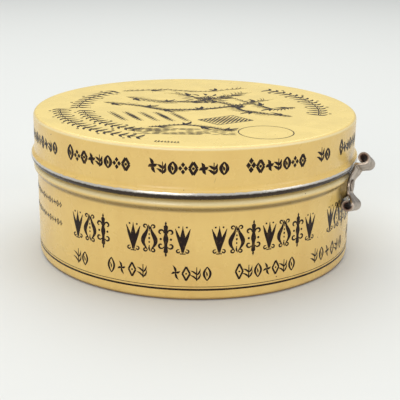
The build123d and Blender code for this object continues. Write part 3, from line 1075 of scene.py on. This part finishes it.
def catmull(t, p, q, r, w):
    """Catmull-Rom value at t on the way from q to r."""
    return 0.5 * (2 * q + (r - p) * t + (2 * p - 5 * q + 4 * r - w) * t * t + (3 * q - p - 3 * r + w) * t**3)


def vine(bm, points, width, leaves, barbs):
    """Bold stem through a few points, with leaves on alternate sides and engraved barbs that long."""
    path = []
    padded = [points[0], *points, points[-1]]
    for run in zip(padded, padded[1:], padded[2:], padded[3:]):
        # a Catmull-Rom run from the second of four points to the third
        path += [[catmull(k / 8, *line) for line in zip(*run)] for k in range(8)]
    path.append(list(points[-1]))
    last = len(path) - 1
    stroke(bm, [(x, y, max(0.1, width * sin(pi * (0.06 + 0.9 * i / last)))) for i, (x, y) in enumerate(path)])
    for n in range(leaves):
        i = max(1, round(last * (n + 0.6) / leaves) - 1)
        (ax, ay), (bx, by) = path[i - 1], path[i]
        heading = degrees(atan2(by - ay, bx - ax))
        side = 1 if n % 2 else -1
        stroke(bm, leaf(bx, by, heading + side * 48, 4.4, 1.15, 8))
        stroke(bm, leaf(bx, by, heading + side * 80, 2.9, 0.8, 8))
    for i in range(1, last):
        (ax, ay), (bx, by) = path[i - 1], path[i]
        heading = degrees(atan2(by - ay, bx - ax))
        for side, lean in ((-1, 34), (1, 28)):
            reach = barbs * (0.75 + 0.6 * noise.noise(Vector((bx * 0.35, by * 0.35, side * 5.5))))
            stroke(bm, leaf(bx, by, heading + side * lean, reach, 0.2, 4))
            stroke(bm, leaf((ax + bx) / 2, (ay + by) / 2, heading + side * (lean + 14), reach * 0.6, 0.16, 4))


def hatched(bm, x, y, wide, tall, pitch, width):
    """Lozenge filled with slanting engraved lines."""
    count = int(2 * wide / pitch)
    for i in range(count + 1):
        across = -wide + 2 * wide * i / count
        half = tall * (1 - abs(across) / wide)
        if half > 0.4:
            line = []
            for up in (-1, -0.6, -0.2, 0.2, 0.6, 1):
                thick = max(0.08, width * (1 - up * up * 0.8))
                line.append((x + across + 0.35 * up * half, y + up * half, thick))
            stroke(bm, line)
    for side in (-1, 1):
        for way in (-1, 1):
            corner = (x + 0.35 * way * tall, y + way * tall, 0.35)
            stroke(bm, [(x + side * wide, y, 0.35), corner])


RING = (17.7, -28.1, 6.9)  # middle and radius of the plain ring on the panel, in millimetres
ROSETTE = (3, 13, 3.9)  # and of the rosette's heart
# arcs of laurel as radius, start and end in degrees, and size
GARLANDS = ((34, 76.5, 139, 5.4), (37, -84, -22, 4.8), (32, -132, -88, 5.4), (30.6, -80, -30, 4.6))
# stems as points, width, leaves and barbs
VINES = (
    (((-26, 6), (-16, 2), (-8, -3), (2, -2), (12, 4), (20, 12)), 1.1, 6, 4.2),
    (((-20, 14), (-10, 8), (-1, 8), (6, 13), (14, 22)), 0.8, 5, 5.0),
    (((26, -10), (19, -7), (13, -3), (10, 4), (2, 12), (-6, 20)), 0.9, 5, 4.0),
    (((-12, -24), (-4, -21), (3, -23), (9, -27)), 0.8, 4, 2.6),
    (((28, 2), (22, -1), (17, 5), (8, 18)), 0.6, 4, 3.4),
    (((-22, 22), (-10, 25), (2, 23), (14, 29)), 0.3, 2, 3.0),
)


class TIN_OT_print_top(bpy.types.Operator):
    """Print the lid's panel: garlands, an engraved rosette with hatched ground, and a plain ring"""

    bl_idname = "tin.print_top"
    bl_label = "Lid panel"

    def execute(self, context):
        sizes = context.scene.tin_sizes
        bm = bmesh.new()
        for arc in GARLANDS:
            garland(bm, *arc)
        x, y, radius = RING
        turns = [tau * i / 72 for i in range(73)]
        stroke(bm, [(x + radius * cos(a), y + radius * sin(a), 0.28) for a in turns])
        # ribbon of slanting folds
        for i in range(5):
            for shift, width in ((-0.75, 0.22), (0, 0.95 if i % 2 else 0.65), (0.7, 0.2)):
                x = 4.1 * i - 23 + shift
                share = [k / 5 for k in range(6)]
                swell = [max(0.1, width * sin(pi * (0.08 + 0.84 * t))) for t in share]
                stroke(bm, [(x + 5 * t, -6.5 - 10.5 * t, thick) for t, thick in zip(share, swell)])
        for stem in VINES:
            vine(bm, *stem)
        hatched(bm, 8, -15, 7.2, 5.6, 0.95, 0.62)
        hatched(bm, 3, 13, 3.2, 3.4, 0.8, 0.55)
        x, y, radius = ROSETTE
        for turn in range(0, 360, 30):
            petal = x + radius * cos(radians(turn)), y + radius * sin(radians(turn))
            stroke(bm, leaf(*petal, turn, 3.2, 0.9, 8))
        # short ground strokes, cut as an engraver swells a line, clear of the ring
        for row in range(7):
            for k in range(14):
                x = -17 + k * 2.1 + 0.9 * noise.noise(Vector((row * 1.7, k * 1.3, 2.2)))
                y = -25.5 - row * 0.95
                swell = 0.42 + 0.5 * noise.noise(Vector((x * 0.21, y * 0.31, 8.8)))
                if swell < 0.3 or hypot(x - RING[0], y - RING[1]) < 9:
                    continue
                run = 1.2 + 2.2 * swell
                full = [(x + run * 0.35, y + 0.12, swell), (x + run * 0.7, y + 0.1, swell)]
                stroke(bm, [(x, y, 0.08), *full, (x + run, y, 0.08)])
        garland(bm, 39.6, -14, -6, 1.6)
        lay_on(bm, LID_BOX[1].z - sizes.panel_drop, sizes.waver)
        finish_piece("print_lid_panel", bm, [finishes["ink"]], "lid")
        return {"FINISHED"}


# ---- stage --------------------------------------------------------------------------------------


# lights as place in metres, before SWING, size, watts and colour
LIGHTS = {
    "overhead": ((-0.05, 0.2, 0.75), 1.15, 9.1, (0.965, 1.0, 1.0)),
    "key_left": ((-0.3, -0.8, 0.34), 0.45, 2.55, (1.0, 0.975, 0.97)),
    "fill_right": ((0.75, -0.35, 0.35), 0.5, 1.3, (1.0, 0.975, 0.97)),
}
AIM = Vector((0, 0, 20 * MM))  # what they are turned to
CAMERA = (101.5 * MM, -239.1 * MM, 94.6 * MM)
LENS = 86.1
PITCH, YAW, ROLL = 0.3073, 0.0065, 0.0145  # the camera's, in radians, before SWING


class TIN_OT_stage(bpy.types.Operator):
    """Set the pale floor, the soft lights and the camera"""

    bl_idname = "tin.stage"
    bl_label = "Stage"

    def execute(self, context):
        scene = context.scene
        bm = bmesh.new()
        bmesh.ops.create_grid(bm, x_segments=1, y_segments=1, size=4)
        bmesh.ops.translate(bm, verts=bm.verts, vec=(0, 0, -0.01 * MM))
        mesh = bpy.data.meshes.new("floor")
        bm.to_mesh(mesh)
        bm.free()
        mesh.materials.append(plain_floor("paper_floor"))
        floor = bpy.data.objects.new("floor", mesh)
        scene.collection.objects.link(floor)

        world = bpy.data.worlds.new("studio")
        world.use_nodes = True
        world.node_tree.nodes["Background"].inputs["Color"].default_value = (0.93, 0.96, 1.0, 1)
        world.node_tree.nodes["Background"].inputs["Strength"].default_value = 0.32
        scene.world = world

        for name, (place, size, power, tone) in LIGHTS.items():
            data = bpy.data.lights.new(name, "AREA")
            data.shape, data.size, data.energy, data.color = "SQUARE", size, power, tone
            light = bpy.data.objects.new(name, data)
            scene.collection.objects.link(light)
            light.location = Matrix.Rotation(SWING, 3, "Z") @ Vector(place)
            light.rotation_euler = (AIM - light.location).to_track_quat("-Z", "Y").to_euler()

        ahead = Vector((sin(YAW) * cos(PITCH), cos(YAW) * cos(PITCH), -sin(PITCH)))
        right = Vector((cos(YAW), -sin(YAW), 0))
        up = right.cross(ahead)
        across = cos(ROLL) * right + sin(ROLL) * up
        upward = -sin(ROLL) * right + cos(ROLL) * up
        turned = Matrix.Rotation(SWING, 3, "Z") @ Matrix((across, upward, -ahead)).transposed()
        data = bpy.data.cameras.new("camera")
        data.lens, data.sensor_width = LENS, 36
        data.clip_start, data.clip_end = 0.01, 20
        camera = bpy.data.objects.new("camera", data)
        scene.collection.objects.link(camera)
        camera.matrix_world = Matrix.Translation(CAMERA) @ turned.to_4x4()
        scene.camera = camera
        scene.view_settings.view_transform = "Standard"
        return {"FINISHED"}


# ---- panel and registration ---------------------------------------------------------------------

OPERATORS = (
    TIN_OT_stage,
    TIN_OT_lid,
    TIN_OT_can,
    TIN_OT_key,
    TIN_OT_rivet,
    TIN_OT_wax,
    TIN_OT_print_lid_band,
    TIN_OT_print_can_band,
    TIN_OT_print_top,
)


class TIN_PT_panel(bpy.types.Panel):
    bl_idname = "TIN_PT_panel"
    bl_label = "Polish Tin"
    bl_space_type = "VIEW_3D"
    bl_region_type = "UI"
    bl_category = "Polish Tin"

    def draw(self, context):
        for operator in OPERATORS:
            self.layout.operator(operator.bl_idname)
        for group in (context.scene.tin_sizes, context.scene.key_sizes, context.scene.tin_colours):
            for name in group.__annotations__:
                self.layout.prop(group, name)


CLASSES = (TinSizes, KeySizes, TinColours, *OPERATORS, TIN_PT_panel)
GROUPS = {"tin_sizes": TinSizes, "key_sizes": KeySizes, "tin_colours": TinColours}
finishes = {}


def register():
    for cls in CLASSES:
        bpy.utils.register_class(cls)
    for name, group in GROUPS.items():
        setattr(bpy.types.Scene, name, PointerProperty(type=group))


def unregister():
    for name in GROUPS:
        delattr(bpy.types.Scene, name)
    for cls in reversed(CLASSES):
        bpy.utils.unregister_class(cls)


def main():
    register()
    finishes.update(build_materials(bpy.context.scene.tin_colours))
    bpy.ops.tin.stage()
    bpy.ops.tin.lid()
    bpy.ops.tin.can()
    bpy.ops.tin.key()
    bpy.ops.tin.rivet()
    bpy.ops.tin.wax()
    bpy.ops.tin.print_lid_band()
    bpy.ops.tin.print_can_band()
    bpy.ops.tin.print_top()


if __name__ == "__main__":
    main()
